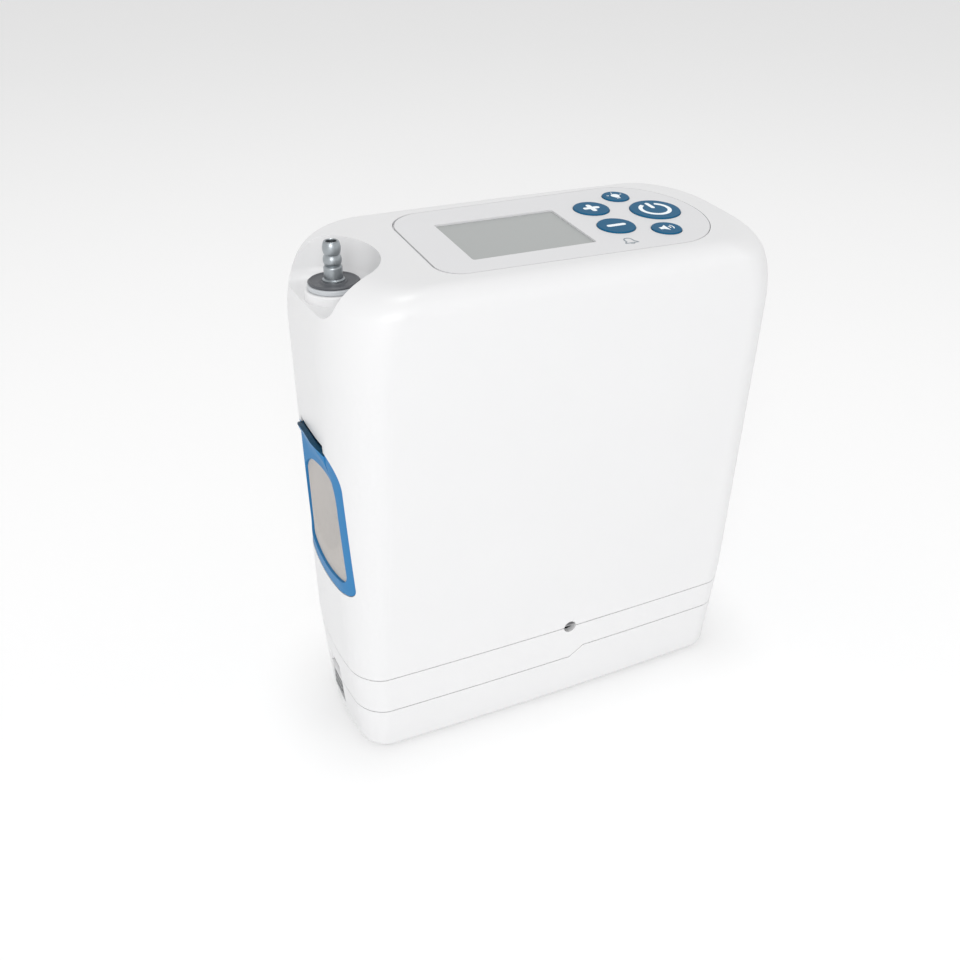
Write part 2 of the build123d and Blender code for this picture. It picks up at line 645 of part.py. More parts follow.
with BuildPart() as nozzle_collar:
    with BuildSketch(Plane.XZ) as collar_profile:
        with BuildLine():
            Polyline(
                (3.7, seat_z[1]),
                (COLLAR_RADIUS - 0.4, seat_z[1]),
                (COLLAR_RADIUS, COLLAR_TOP_Z - 0.3),
                (COLLAR_RADIUS - 0.5, COLLAR_TOP_Z + 0.1),
                (COLLAR_RADIUS - 1.6, COLLAR_TOP_Z - 0.4),
                (5.0, COLLAR_TOP_Z - 0.4),
                (4.6, COLLAR_TOP_Z),
                (3.7, COLLAR_TOP_Z),
                close=True,
            )
        make_face()
    revolve(axis=Axis.Z)
nozzle_collar.part = nozzle_collar.part.moved(Location((NOZZLE_X, 0, 0)))
finish(nozzle_collar, "nozzle_collar")

barb_z = COLLAR_TOP_Z
with BuildPart() as cannula_nozzle:
    with BuildSketch(Plane.XZ) as nozzle_profile:
        with BuildLine():
            Polyline((1.2, 176), (1.9, 176), (2.3, 178), (2.0, 178.4), (2.0, 181), (3.6, 181))
            Polyline((3.6, 181), (3.6, barb_z), (3.9, barb_z), (3.9, barb_z + 0.4), (BARB_RADIUS, barb_z + 0.8))
            Line((BARB_RADIUS, barb_z + 0.8), (BARB_RADIUS, barb_z + 4.2))
            ThreePointArc((BARB_RADIUS, barb_z + 4.2), (3.05, barb_z + 4.9), (2.6, barb_z + 5.2))
            ThreePointArc((2.6, barb_z + 5.2), (3.2, barb_z + 7.0), (2.6, barb_z + 8.9))
            ThreePointArc((2.6, barb_z + 8.9), (3.15, barb_z + 10.9), (2.75, NOZZLE_TIP_Z - 0.5))
            ThreePointArc((2.75, NOZZLE_TIP_Z - 0.5), (2.55, NOZZLE_TIP_Z - 0.1), (2.2, NOZZLE_TIP_Z))
            Polyline((2.2, NOZZLE_TIP_Z), (NOZZLE_BORE, NOZZLE_TIP_Z - 0.2), (NOZZLE_BORE, barb_z + 1))
            Polyline((NOZZLE_BORE, barb_z + 1), (1.2, barb_z), (1.2, 176))
        make_face()
    revolve(axis=Axis.Z)
cannula_nozzle.part = cannula_nozzle.part.moved(Location((NOZZLE_X, 0, 0)))
finish(cannula_nozzle, "cannula_nozzle")

with BuildPart() as nozzle_o_ring:
    with Locations((NOZZLE_X, 0, BOSS_TOP_Z - 0.9)):
        Torus(4.65, 0.85)
finish(nozzle_o_ring, "nozzle_o_ring")

with BuildPart() as nozzle_nut:
    with BuildSketch(Plane.XY.offset(POCKET_FLOOR_Z - POCKET_FLOOR_THICKNESS)):
        with Locations((NOZZLE_X, 0)):
            RegularPolygon(6.4, 6)
            Circle(3.65, mode=Mode.SUBTRACT)
    extrude(amount=-4)
finish(nozzle_nut, "nozzle_nut")

# ---------------------------------------------------------------- side intakes
def dished_skin(y, z):
    """Distance of the dished end face from the centre plane at one place."""
    half_length, half_depth = casing_half_sizes(z, 0, 0, 0)
    from_middle = math.hypot(y, z - INTAKE_DISH_Z)
    dish = INTAKE_DISH * max(1 - (from_middle / INTAKE_DISH_REACH) ** 2, 0)
    return half_length - max(END_BOW * (y / half_depth) ** 2, dish)


def lip_section(side, y):
    """Cross-section of the pull lip at y: it leaves the frame and sweeps out to its top edge."""
    flare = 1 - abs(y / LIP_HALF_WIDTH) ** LIP_FLARE_POWER
    corner = max(abs(y) - LIP_FLAT_HALF_WIDTH, 0)
    frame_top = INTAKE_TOP_Z - INTAKE_TOP_CORNER + math.sqrt(INTAKE_TOP_CORNER**2 - corner**2)
    top = between(frame_top - 1.0, LIP_TOP_Z, flare)
    reach = LIP_REACH - dished_skin(0, INTAKE_TOP_Z)
    outer = []
    for i in range(LIP_STEPS + 1):
        part = i / LIP_STEPS
        z = between(LIP_START_Z, top, part)
        sweep_out = reach * flare * part**LIP_SWEEP_POWER
        outer.append((side * (dished_skin(y, min(z, INTAKE_TOP_Z)) - 0.1 + sweep_out), z))
    inner_top = (outer[-1][0] - side * LIP_THICKNESS, top)
    inner_middle = (side * (dished_skin(y, LIP_BEND_Z) - LIP_ROOT_DEPTH), LIP_BEND_Z + 0.5)
    inner_low = (side * (dished_skin(y, LIP_START_Z) - LIP_ROOT_DEPTH), LIP_START_Z)
    with BuildSketch(Plane.XZ.offset(-y)) as section:
        with BuildLine():
            Polyline(*outer, inner_top, inner_middle, inner_low, close=True)
        make_face()
    return section.sketch


def make_filter(side, name):
    """One removable intake filter: an open frame with a pull lip, and its mesh."""
    with BuildPart() as pull_lip:
        loft(sections=[lip_section(side, y) for y in LIP_PLACES], ruled=True)
    with BuildPart() as frame:
        add(intake_prism(side, 0))
        add(skin_form, mode=Mode.INTERSECT)
        add(frame_back_form, mode=Mode.SUBTRACT)
        add(pull_lip.part)
        add(intake_prism(side, 0, opening=True), mode=Mode.SUBTRACT)
        with BuildPart(mode=Mode.PRIVATE) as rebate:
            add(intake_prism(side, MESH_EDGE + 0.2, opening=True))
            add(mesh_front_form, mode=Mode.INTERSECT)
        add(rebate.part, mode=Mode.SUBTRACT)
    finish(frame, f"{name}_filter_frame")
    with BuildPart() as mesh:
        add(intake_prism(side, MESH_EDGE, opening=True))
        add(mesh_front_form, mode=Mode.INTERSECT)
        add(mesh_back_form, mode=Mode.SUBTRACT)
    finish(mesh, f"{name}_filter_mesh")


make_filter(-1, "left")
make_filter(1, "right")

# ---------------------------------------------------------------- power inlet
with BuildPart() as dc_jack:
    block((JACK_X - 5.5, JACK_X + 5.5), (-29.0, -19.0), (UPPER_SEAM_Z - 5, UPPER_SEAM_Z + 5))
    fillet(dc_jack.edges().filter_by(Axis.Y), radius=1)
    round_y(JACK_X, (-30, -20.0), UPPER_SEAM_Z, JACK_BORE_RADIUS, mode=Mode.SUBTRACT)
    round_y(JACK_X, (-21, -18.0), UPPER_SEAM_Z, 1.05, mode=Mode.SUBTRACT)
finish(dc_jack, "dc_jack")

with BuildPart() as dc_jack_pin:
    round_y(JACK_X, (-28.5, -17.0), UPPER_SEAM_Z, 1.05)
    fillet(dc_jack_pin.edges().sort_by(Axis.Y)[0], radius=0.6)
finish(dc_jack_pin, "dc_jack_pin")

# ---------------------------------------------------------------- battery
battery_top = -half_gap
latch_low_x = -83.0
ramp_window = ((5.0, 24.1), (-11.1, 11.1), (20.4, 30))

with BuildPart() as battery_shell:
    battery_heights = [FOOT_ROUND * (1 - math.cos(math.pi / 2 * i / 6)) for i in range(7)] + [KINK_Z]
    loft(sections=[casing_section(z, 0, 0, FOOT_ROUND) for z in battery_heights], ruled=True)
    add(seam_block(battery_top), mode=Mode.INTERSECT)

with BuildPart() as battery_space:
    inner_round = FOOT_ROUND - BATTERY_WALL
    space_heights = [0.01, inner_round * 0.4, inner_round, KINK_Z]
    loft(sections=[casing_section(z, BATTERY_WALL, 0, inner_round) for z in space_heights], ruled=True)
    block((-120, 120), (-60, 60), (-5, BATTERY_FLOOR), mode=Mode.SUBTRACT)

with BuildPart() as battery_case:
    add(battery_shell.part)
    add(battery_space.part, mode=Mode.SUBTRACT)
    # pocket and spring well of the latch in the left end
    block((-86, latch_low_x + 1.6), (latch_y[0] - 1.6, latch_y[1] + 1.6), (BATTERY_FLOOR, 20.4))
    round_x((latch_low_x, LATCH_WELL_END), LATCH_Y, LATCH_SPRING_Z, 4.2)
    block((-100, latch_low_x), latch_y, LATCH_Z, mode=Mode.SUBTRACT)
    round_x((latch_low_x - 1, LATCH_WELL_END - 1.2), LATCH_Y, LATCH_SPRING_Z, 3.0, mode=Mode.SUBTRACT)
finish(battery_case, "battery_case")

with BuildPart() as battery_cover:
    loft(sections=[casing_section(z, BATTERY_WALL + 0.15) for z in (5, KINK_Z)], ruled=True)
    add(seam_block(battery_top), mode=Mode.INTERSECT)
    add(seam_block(battery_top - COVER_THICKNESS), mode=Mode.SUBTRACT)
    for y in (-RAIL_Y, RAIL_Y):
        stem_z = (LOWER_SEAM_LEFT_Z - 1, RAIL_SHOULDER_Z + 0.2)
        block(RAIL_X, (y - RAIL_STEM / 2, y + RAIL_STEM / 2), stem_z)
        block(RAIL_X, (y - RAIL_HEAD / 2, y + RAIL_HEAD / 2), (RAIL_SHOULDER_Z, RAIL_TOP_Z))
    block(*ramp_window, mode=Mode.SUBTRACT)
finish(battery_cover, "battery_cover")

blade_places = [(i - (BLADE_COUNT - 1) / 2) * BLADE_PITCH for i in range(BLADE_COUNT)]
with BuildPart() as contact_blades:
    for y in blade_places:
        block((2, 17), (y - 0.4, y + 0.4), (23.6, 26.2))
        block((2, 3), (y - 0.4, y + 0.4), (26.2, 32))
finish(contact_blades, "contact_blades")

with BuildPart() as base_contact_block:
    block(contact_x, (-11, 11), (LOWER_SEAM_LEFT_Z + half_gap, 29.6))
    add(contact_blades.part, mode=Mode.SUBTRACT)
finish(base_contact_block, "base_contact_block")

with BuildPart() as battery_contact_block:
    with BuildSketch(Plane.XZ) as contact_profile:
        with BuildLine():
            Polyline((7.2, 20.6), (7.2, 22.3), (13.2, 26.9), (24, 26.9), (24, 20.6), close=True)
        make_face()
    extrude(contact_profile.sketch, amount=10.9, both=True)
    for y in blade_places:
        block((5, 18.5), (y - 0.8, y + 0.8), (23.0, 26.5), mode=Mode.SUBTRACT)
        block((5, 13.0), (y - 0.8, y + 0.8), (23.0, 28), mode=Mode.SUBTRACT)
finish(battery_contact_block, "battery_contact_block")

with BuildPart() as battery_cells:
    for start in (-66.4, 0.6):
        for row in (-1, 0, 1):
            round_x((start, start + CELL_LENGTH), row * CELL_PITCH, CELL_Z, CELL_RADIUS)
finish(battery_cells, "battery_cells")

with BuildPart() as cell_strips:
    for x in (-66.8, -1.4, 0.2, 65.6):
        block((x, x + 0.4), (-23.5, 23.5), (CELL_Z - 3.5, CELL_Z + 3.5))
finish(cell_strips, "cell_strips")

with BuildPart() as battery_board:
    block((67, 68.6), (-24, 24), (3, 22))
    block((68.6, 72), (-12, 2), (8, 18))
    block((68.6, 71), (8, 18), (10, 16))
finish(battery_board, "battery_board")

with BuildPart() as battery_latch:
    plate_y = (latch_y[0] + 0.3, latch_y[1] - 0.3)
    block((-87.0, -85.0), plate_y, (LATCH_Z[0] + 0.3, LATCH_Z[1] - 0.3))
    fillet(battery_latch.edges().filter_by(Axis.X), radius=1.5)
    for z in (12.4, 15.0, 17.6):
        block((-87.6, -87.0), (LATCH_Y - 4.5, LATCH_Y + 4.5), (z - 0.6, z + 0.6))
finish(battery_latch, "battery_latch")

with BuildPart() as latch_spring:
    for i in range(6):
        with Locations(Location((-84.6 + i * 0.8, LATCH_Y, LATCH_SPRING_Z), (0, 90, 0))):
            Torus(2.2, 0.4)
finish(latch_spring, "latch_spring")

# ---------------------------------------------------------------- compressor
# flat twin: the crank runs along Y, the cylinders along X
bore_y = -16.0
crank_x = COMPRESSOR_X
crank_z = COMPRESSOR_Z
cylinder_start = CRANKCASE_HALF
cylinder_end = CRANKCASE_HALF + CYLINDER_LENGTH

with BuildPart() as compressor_crankcase:
    crankcase_x = (crank_x - CRANKCASE_HALF, crank_x + CRANKCASE_HALF)
    block(crankcase_x, (-29.5, -2.5), (crank_z - 16, crank_z + 16))
    fillet(compressor_crankcase.edges().filter_by(Axis.Y), radius=4)
    block((crank_x - 15, crank_x + 15), (-27, -5), (crank_z - 13, crank_z + 13), mode=Mode.SUBTRACT)
    round_x(crankcase_x, bore_y, crank_z, BORE_RADIUS, mode=Mode.SUBTRACT)
    round_y(crank_x, (-6, 0), crank_z, 3.05, mode=Mode.SUBTRACT)
finish(compressor_crankcase, "compressor_crankcase")

with BuildPart() as compressor_motor:
    round_y(crank_x, (-2.5, 27), crank_z, MOTOR_RADIUS)
    fillet(compressor_motor.edges().filter_by(GeomType.CIRCLE).sort_by(Axis.Y)[-1], radius=2)
    round_y(crank_x, (-0.5, 24.5), crank_z, MOTOR_RADIUS - 3, mode=Mode.SUBTRACT)
    round_y(crank_x, (-3, 28), crank_z, 3.05, mode=Mode.SUBTRACT)
finish(compressor_motor, "compressor_motor")

with BuildPart() as motor_rotor:
    round_y(crank_x, (-9, 26), crank_z, 3.0)
    round_y(crank_x, (1, 23), crank_z, MOTOR_RADIUS - 3.6)
    round_y(crank_x, (-11, -8), crank_z, 9)
    round_y(crank_x + STROKE / 2, (-14, -11), crank_z, 2)
finish(motor_rotor, "motor_rotor")


def make_cylinder_set(side, name, rod_y):
    """Cylinder, head and piston on one side of the crankcase."""
    with BuildPart() as cylinder:
        barrel = sorted((crank_x + side * cylinder_start, crank_x + side * cylinder_end))
        round_x(barrel, bore_y, crank_z, 12.8)
        for i in range(5):
            fin = crank_x + side * (cylinder_start + 2.5 + i * 3.75)
            round_x((fin - 0.7, fin + 0.7), bore_y, crank_z, 13.5)
        round_x(barrel, bore_y, crank_z, BORE_RADIUS, mode=Mode.SUBTRACT)
    finish(cylinder, f"cylinder_{name}")
    with BuildPart() as head:
        head_x = sorted((crank_x + side * cylinder_end, crank_x + side * (cylinder_end + HEAD_THICKNESS)))
        round_x(head_x, bore_y, crank_z, 13.5)
        port_z = (crank_z + 10, crank_z + 19)
        round_z(crank_x + side * (cylinder_end + 3), bore_y, port_z, 2.4)
    finish(head, f"cylinder_head_{name}")
    with BuildPart() as piston:
        crown = sorted((crank_x + side * 23, crank_x + side * 31))
        round_x(crown, bore_y, crank_z, PISTON_RADIUS)
        ring = sorted((crank_x + side * 28, crank_x + side * 29))
        round_x(ring, bore_y, crank_z, PISTON_RADIUS + 0.5, mode=Mode.SUBTRACT)
        round_x(ring, bore_y, crank_z, PISTON_RADIUS - 0.8)
        rod = sorted((crank_x + side * 5, crank_x + side * 24))
        block(rod, (rod_y - 1.6, rod_y + 1.6), (crank_z - 3, crank_z + 3))
        round_y(crank_x, (rod_y - 1.6, rod_y + 1.6), crank_z, 7.5)
        round_y(crank_x, (rod_y - 1.6, rod_y + 1.6), crank_z, 4.5, mode=Mode.SUBTRACT)
    finish(piston, f"piston_{name}")


make_cylinder_set(-1, "left", -16.2)
make_cylinder_set(1, "right", -20.2)

bracket_z = (43.0, 45.0)
mount_places = [(-56, -24), (-56, 24), (-6, -24), (-6, 24)]
with BuildPart() as compressor_bracket:
    block((-61, -1), (-27.5, 27.5), bracket_z)
    fillet(compressor_bracket.edges().filter_by(Axis.Z), radius=4)
    block((crank_x - 14, crank_x + 14), (-26, -6), (bracket_z[1], crank_z - 16))
    block((crank_x - 14, crank_x + 14), (4, 20), (bracket_z[1], 52))
    round_y(crank_x, (0, 30), crank_z, MOTOR_RADIUS, mode=Mode.SUBTRACT)
finish(compressor_bracket, "compressor_bracket")

with BuildPart() as compressor_mounts:
    for x, y in mount_places:
        round_z(x, y, (LOWER_SEAM_LEFT_Z + half_gap + WALL, bracket_z[0]), 3.4)
        round_z(x, y, (31, 38), 2.6, mode=Mode.SUBTRACT)
        round_z(x, y, (31, 38), 2.5)
finish(compressor_mounts, "compressor_mounts")

# ---------------------------------------------------------------- fan and coil
fan_half = FAN_SIZE / 2
with BuildPart() as fan_frame:
    block((crank_x - fan_half, crank_x + fan_half), (-fan_half, fan_half), (FAN_Z, FAN_Z + FAN_HEIGHT))
    fillet(fan_frame.edges().filter_by(Axis.Z), radius=3)
    round_z(crank_x, 0, (FAN_Z - 1, FAN_Z + FAN_HEIGHT + 1), fan_half - 1.2, mode=Mode.SUBTRACT)
    for angle in (0, 90):
        with Locations(Location((crank_x, 0, FAN_Z + 0.75), (0, 0, angle + 45))):
            Box(FAN_SIZE - 1.5, 2.4, 1.5)
    round_z(crank_x, 0, (FAN_Z, FAN_Z + 1.5), 9)
    round_z(crank_x, 0, (FAN_Z + 1.5, FAN_Z + 5), 1.5)
    block((crank_x - 12, crank_x + 12), (fan_half - 0.5, 32.2), (FAN_Z + 3, FAN_Z + 7))
finish(fan_frame, "fan_frame")

with BuildPart() as fan_rotor:
    round_z(crank_x, 0, (FAN_Z + 2.2, FAN_Z + 9.6), 9.5)
    for i in range(7):
        with Locations(Location((crank_x, 0, FAN_Z + 5.6), (0, 0, i * 360 / 7))):
            with Locations(Location((13.2, 0, 0), (38, 0, 0))):
                Box(8.4, 8, 1.0)
    round_z(crank_x, 0, (FAN_Z + 1, FAN_Z + 5.2), 1.57, mode=Mode.SUBTRACT)
finish(fan_rotor, "fan_rotor")

with BuildPart() as cooling_coil:
    with BuildLine() as coil_path:
        coil_points = [(crank_x - 24, -COIL_RADIUS, COIL_Z)]
        for i in range(5):
            x = crank_x - 20 + i * 10
            ends = (-COIL_RADIUS, COIL_RADIUS) if i % 2 == 0 else (COIL_RADIUS, -COIL_RADIUS)
            coil_points += [(x, ends[0], COIL_Z), (x, ends[1], COIL_Z)]
        coil_points += [(crank_x + 28, COIL_RADIUS, COIL_Z)]
        FilletPolyline(*coil_points, radius=3.5)
    with BuildSketch(Plane(origin=coil_path.wires()[0] @ 0, z_dir=coil_path.wires()[0] % 0)):
        Circle(COIL_TUBE)
    sweep()
finish(cooling_coil, "cooling_coil")

# ---------------------------------------------------------------- sieve columns and tank
manifold_half = 26.8
with BuildPart() as column_base_manifold:
    block((TANK_X - 12, COLUMN_X + 14), (-manifold_half, manifold_half), (30, COLUMN_Z[0]))
    fillet(column_base_manifold.edges().filter_by(Axis.Z), radius=8)
finish(column_base_manifold, "column_base_manifold")

with BuildPart() as column_top_manifold:
    block((TANK_X - 12, COLUMN_X + 14), (-manifold_half, manifold_half), (COLUMN_Z[1], COLUMN_Z[1] + 10))
    fillet(column_top_manifold.edges().filter_by(Axis.Z), radius=8)
    fillet(column_top_manifold.faces().sort_by(Axis.Z)[-1].edges(), radius=1.5)
finish(column_top_manifold, "column_top_manifold")


def make_column(y, name):
    """One sieve column tube."""
    with BuildPart() as column:
        round_z(COLUMN_X, y, COLUMN_Z, COLUMN_RADIUS)
        round_z(COLUMN_X, y, COLUMN_Z, COLUMN_RADIUS - 1.1, mode=Mode.SUBTRACT)
    finish(column, name)


make_column(-COLUMN_Y, "sieve_column_front")
make_column(COLUMN_Y, "sieve_column_rear")

with BuildPart() as sieve_beds:
    for y in (-COLUMN_Y, COLUMN_Y):
        round_z(COLUMN_X, y, (COLUMN_Z[0] + 6, COLUMN_Z[1] - 12), COLUMN_RADIUS - 1.2)
finish(sieve_beds, "sieve_beds")

with BuildPart() as solenoid_valves:
    valve_base = COLUMN_Z[1] + 10
    for x in (COLUMN_X - 7, COLUMN_X + 7):
        for y in (-13, 13):
            round_z(x, y, (valve_base, valve_base + 15), 5.2)
            round_z(x, y, (valve_base + 15, valve_base + 18), 3)
finish(solenoid_valves, "solenoid_valves")

with BuildPart() as product_tank:
    round_z(TANK_X, 8, COLUMN_Z, TANK_RADIUS)
    fillet(product_tank.edges().filter_by(GeomType.CIRCLE), radius=2)
    round_z(TANK_X, 8, (COLUMN_Z[0] + 2, COLUMN_Z[1] - 2), TANK_RADIUS - 1.5, mode=Mode.SUBTRACT)
finish(product_tank, "product_tank")

# ---------------------------------------------------------------- electronics and hose
with BuildPart() as main_board:
    block((-72, 14), (-31, -29.4), (100, 180))
    block((-60, -46), (-29.4, -27.6), (120, 134))
    block((-30, -20), (-29.4, -27.8), (150, 160))
    block((-66, -40), (-29.4, -26.4), (164, 172))
    round_y(0, (-29.4, -22), 168, 4)
    round_y(0, (-29.4, -22), 156, 4)
    for i in range(6):
        block((-12 + i * 3, -11 + i * 3), (-27.9, -22), (108, 128))
    block((-13, 5), (-29.4, -27.9), (107, 129))
finish(main_board, "main_board")

hose_y = 8.0
hose_z = 153.0
with BuildPart() as product_hose:
    with BuildLine() as hose_path:
        FilletPolyline(
            (TANK_X - 12, hose_y, hose_z),
            (-40, hose_y, hose_z),
            (-66, 2, hose_z + 5),
            (NOZZLE_X, 0, hose_z + 14),
            (NOZZLE_X, 0, 181),
            radius=[18, 12, 9],
        )
    with BuildSketch(Plane(origin=hose_path.wires()[0] @ 0, z_dir=hose_path.wires()[0] % 0)):
        Circle(3.2)
        Circle(2.35, mode=Mode.SUBTRACT)
    sweep()
finish(product_hose, "product_hose")

with BuildPart() as oxygen_sensor:
    block((-30, -8), (1, 17), (hose_z - 7, hose_z + 7))
    fillet(oxygen_sensor.edges().filter_by(Axis.X), radius=2)
    round_x((-31, -7), hose_y, hose_z, 3.25, mode=Mode.SUBTRACT)
finish(oxygen_sensor, "oxygen_sensor")
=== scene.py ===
import json
import math

import bmesh
import bpy
from mathutils import Matrix, Vector


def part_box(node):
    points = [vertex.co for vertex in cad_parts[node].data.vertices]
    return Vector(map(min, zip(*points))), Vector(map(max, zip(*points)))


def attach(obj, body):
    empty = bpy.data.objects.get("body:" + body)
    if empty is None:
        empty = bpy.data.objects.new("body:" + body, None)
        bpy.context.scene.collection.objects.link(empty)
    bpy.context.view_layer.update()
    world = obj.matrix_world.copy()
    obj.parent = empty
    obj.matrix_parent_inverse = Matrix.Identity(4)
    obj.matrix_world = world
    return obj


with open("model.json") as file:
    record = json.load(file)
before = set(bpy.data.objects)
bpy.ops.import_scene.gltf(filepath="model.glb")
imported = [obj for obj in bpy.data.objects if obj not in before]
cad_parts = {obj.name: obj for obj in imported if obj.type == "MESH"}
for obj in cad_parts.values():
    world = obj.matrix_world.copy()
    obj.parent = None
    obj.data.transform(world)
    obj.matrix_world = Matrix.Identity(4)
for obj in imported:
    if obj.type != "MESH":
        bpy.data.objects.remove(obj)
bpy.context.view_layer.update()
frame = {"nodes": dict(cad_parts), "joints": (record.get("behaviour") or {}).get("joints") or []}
nodes = frame["nodes"]

# ------------------------------------------------------------------ settings, in metres
MM = 0.001

# CAD pieces: vertices closer than WELD_DISTANCE are joined, edges sharper than BEVEL_ANGLE are
# rounded on the pieces in BEVELS, and edges sharper than SMOOTH_ANGLE aren't shaded smooth.
WELD_DISTANCE = 0.002 * MM
SMOOTH_ANGLE = math.radians(32)
BEVEL_ANGLE = math.radians(50)
BEVEL_SEGMENTS = 2
BEVELS = {
    "main_housing": 0.35 * MM,
    "base_tray": 0.25 * MM,
    "battery_case": 0.25 * MM,
    "left_filter_frame": 0.25 * MM,
    "right_filter_frame": 0.25 * MM,
    "battery_latch": 0.2 * MM,
}

# Painted shade: a dark navy strip on each filter's pull lip, standing in for the shadow there.
# It covers the faces whose normal's z is at least the upward limit below.
SHADE_STRIP_LOW_Z = 134 * MM
SHADE_STRIP_HALF_WIDTH = 14.4 * MM
SHADE_STRIP_UPWARD = 0.5
SHADE_STRIP_LIFT = 0.01 * MM
SHADE_STRIP_THICKNESS = 0.12 * MM

# Printed signs. Vertices within FACE_BAND of a piece's highest one, measured square to the
# panel, belong to the face that carries the sign. MITRE_LIMIT keeps sharp corners short.
PRINT_LIFT = 0.01 * MM
PRINT_THICKNESS = 0.05 * MM
FACE_BAND = 0.7 * MM
ROUND_END_STEPS = 8
MITRE_LIMIT = 0.5
PLUS_LENGTH, PLUS_WIDTH = 7.0 * MM, 2.0 * MM
MINUS_LENGTH, MINUS_WIDTH = 8.0 * MM, 1.9 * MM
POWER_RING_RADIUS, POWER_RING_WIDTH = 5.6 * MM, 1.6 * MM
POWER_RING_START, POWER_RING_SWEEP = 118, 304
POWER_BAR_LENGTH, POWER_BAR_WIDTH, POWER_BAR_Y = 6.0 * MM, 1.7 * MM, 3.8 * MM
SMALL_SIGN_SIZE = 3.4 * MM
ALARM_X = 25.7 * MM
ALARM_Y = -22.5 * MM
BELL_SIZE, BELL_STROKE = 2.5 * MM, 0.55 * MM
CLAPPER_RADIUS, CLAPPER_WIDTH, CLAPPER_Y = 0.7 * MM, 0.35 * MM, -2.1 * MM

# Light: the world's strength at the horizon and overhead, and the place, size and watts of
# two area lights that point at LIGHT_TARGET.
HORIZON_LEVEL = 1.05
ZENITH_LEVEL = 0.55
LIGHT_TARGET = (0, 0, 0.1)
KEY_PLACE, KEY_SIZE, KEY_POWER = (-0.9, -1.7, 1.0), 1.2, 16.0
OVERHEAD_PLACE, OVERHEAD_SIZE, OVERHEAD_POWER = (0, 0, 1.7), 0.35, 4.2
FLOOR_HALF_SIZE = 6.0
FLOOR_GLOW = 0.05

# Camera: angles in degrees, the point it looks at, its distance from there, and its sensor
# and lens in millimetres.
CAMERA_AZIMUTH, CAMERA_ELEVATION, CAMERA_ROLL = -25.14, 30.91, 0.25
CAMERA_TARGET = (-7.2 * MM, 32.5 * MM, 81.1 * MM)
CAMERA_DISTANCE = 453.0 * MM
CAMERA_SENSOR, CAMERA_LENS = 36.0, 37.76
CAMERA_CLIP_START = 10 * MM


# ------------------------------------------------------------------ material helpers
class Shader:
    """A Principled material with short calls for the nodes that feed it."""

    def __init__(self, name):
        self.material = bpy.data.materials.new(name)
        self.material.use_nodes = True
        self.tree = self.material.node_tree
        self.surface = self.tree.nodes["Principled BSDF"]
        self.place = self.add("ShaderNodeTexCoord").outputs["Object"]

    def add(self, kind, **settings):
        node = self.tree.nodes.new(kind)
        for key, value in settings.items():
            setattr(node, key, value)
        return node

    def link(self, source, target):
        self.tree.links.new(source, target)

    def set(self, **values):
        """Sets the surface's own sockets, with _ for the spaces in their names."""
        for key, value in values.items():
            self.surface.inputs[key.replace("_", " ")].default_value = value

    def noise(self, scale, detail=3.0, roughness=0.5):
        node = self.add("ShaderNodeTexNoise")
        node.inputs["Scale"].default_value = scale
        node.inputs["Detail"].default_value = detail
        node.inputs["Roughness"].default_value = roughness
        self.link(self.place, node.inputs["Vector"])
        return node.outputs["Fac"]

    def cells(self, scale, feature="F1", randomness=1.0):
        node = self.add("ShaderNodeTexVoronoi", feature=feature)
        node.inputs["Scale"].default_value = scale
        node.inputs["Randomness"].default_value = randomness
        self.link(self.place, node.inputs["Vector"])
        return node.outputs["Distance"]

    def wave(self, scale, axis="X", distortion=0.0):
        node = self.add(
            "ShaderNodeTexWave", wave_type="BANDS", bands_direction=axis, wave_profile="SIN"
        )
        node.inputs["Scale"].default_value = scale
        node.inputs["Distortion"].default_value = distortion
        self.link(self.place, node.inputs["Vector"])
        return node.outputs["Fac"]

    def span(self, value, low, high, start=0.0, end=1.0):
        """The value's range from start to end, mapped to low to high."""
        node = self.add("ShaderNodeMapRange")
        node.inputs["From Min"].default_value = start
        node.inputs["From Max"].default_value = end
        node.inputs["To Min"].default_value = low
        node.inputs["To Max"].default_value = high
        self.link(value, node.inputs["Value"])
        return node.outputs["Result"]

    def blend(self, value, low, high):
        """A colour between two, by a value from 0 to 1."""
        node = self.add("ShaderNodeMix", data_type="RGBA")
        self.link(value, node.inputs["Factor"])
        node.inputs["A"].default_value = (*low, 1)
        node.inputs["B"].default_value = (*high, 1)
        return node.outputs["Result"]

    def math(self, operation, first, second):
        node = self.add("ShaderNodeMath", operation=operation)
        for socket, value in zip(node.inputs, (first, second)):
            if isinstance(value, (int, float)):
                socket.default_value = value
            else:
                self.link(value, socket)
        return node.outputs["Value"]

    def colour(self, output):
        self.link(output, self.surface.inputs["Base Color"])

    def rough(self, output):
        self.link(output, self.surface.inputs["Roughness"])

    def bump(self, height, distance, strength=1.0):
        node = self.add("ShaderNodeBump")
        node.inputs["Distance"].default_value = distance
        node.inputs["Strength"].default_value = strength
        self.link(height, node.inputs["Height"])
        self.link(node.outputs["Normal"], self.surface.inputs["Normal"])


def shade(colour, factor):
    return tuple(min(channel * factor, 1.0) for channel in colour)


def plastic(
    name, colour, roughness, grain=0.004 * MM, grain_scale=2600, variation=0.02, specular=0.5
):
    """Moulded plastic: a fine even grain, faint flow marks and slightly uneven gloss."""
    shader = Shader(name)
    shader.set(Specular_IOR_Level=specular)
    flow = shader.noise(scale=22, detail=4)
    shader.colour(shader.blend(flow, shade(colour, 1 - variation), shade(colour, 1 + variation)))
    gloss = shader.noise(scale=90, detail=5)
    shader.rough(shader.span(gloss, roughness - 0.05, roughness + 0.05))
    shader.bump(shader.noise(grain_scale, detail=2), distance=grain)
    return shader.material


